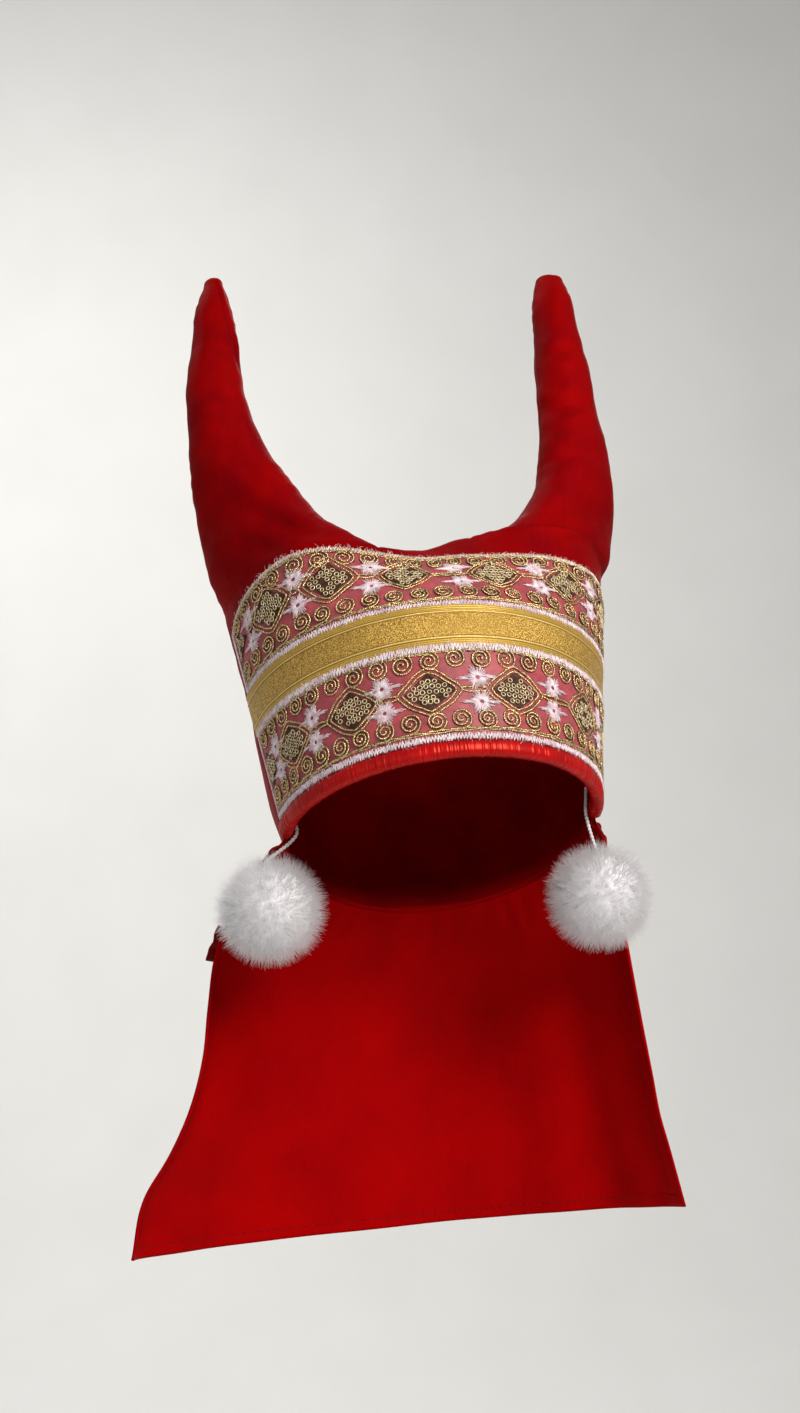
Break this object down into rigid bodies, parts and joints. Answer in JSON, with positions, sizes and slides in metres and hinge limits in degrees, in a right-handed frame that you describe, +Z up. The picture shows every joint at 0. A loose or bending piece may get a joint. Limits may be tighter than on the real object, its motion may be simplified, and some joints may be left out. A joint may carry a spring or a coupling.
{
  "type": "horned kichka hat",
  "caption": "Soft red festive hat with tall stuffed horns, embroidered tapes and gold galloon on a leaning front wall, a hood, a nape cloth, ties and white fur pompoms.",
  "frame": {"origin": "middle of the head opening, at the level of the rim's two side corners over the ears, with the hat worn", "axes": "+Z up, -Y out of the wearer's face, +X to the wearer's left, which is the right of the picture; left and right in names are those of the picture"},
  "size_m": [0.2946, 0.2067, 0.5315],
  "materials": {
    "crown_cloth": "satin cotton, slight sheen",
    "upper_lace": "embroidered tape, gold thread on dusty pink",
    "lower_lace": "embroidered tape, gold thread on raspberry pink",
    "gold_ribbon": "woven metallic galloon",
    "rim_binding": "bright satin, gathered",
    "nape_cloth": "satin cotton, slight sheen",
    "ties": "satin",
    "white_fur": "soft white fur",
    "white_cord": "cotton cord"
  },
  "bodies": {
    "root": {"horned_crown": "crown_cloth", "upper_lace": "upper_lace", "lower_lace": "lower_lace", "gold_ribbon": "gold_ribbon", "rim_binding": "rim_binding", "nape_cloth": "nape_cloth", "tie_left": "ties", "tie_right": "ties", "tie_knot": "ties", "tie_tail_left": "ties", "tie_tail_right": "ties", "pompom_left": "white_fur", "pompom_right": "white_fur", "pompom_cord_left": "white_cord", "pompom_cord_right": "white_cord"}
  },
  "joints": []
}
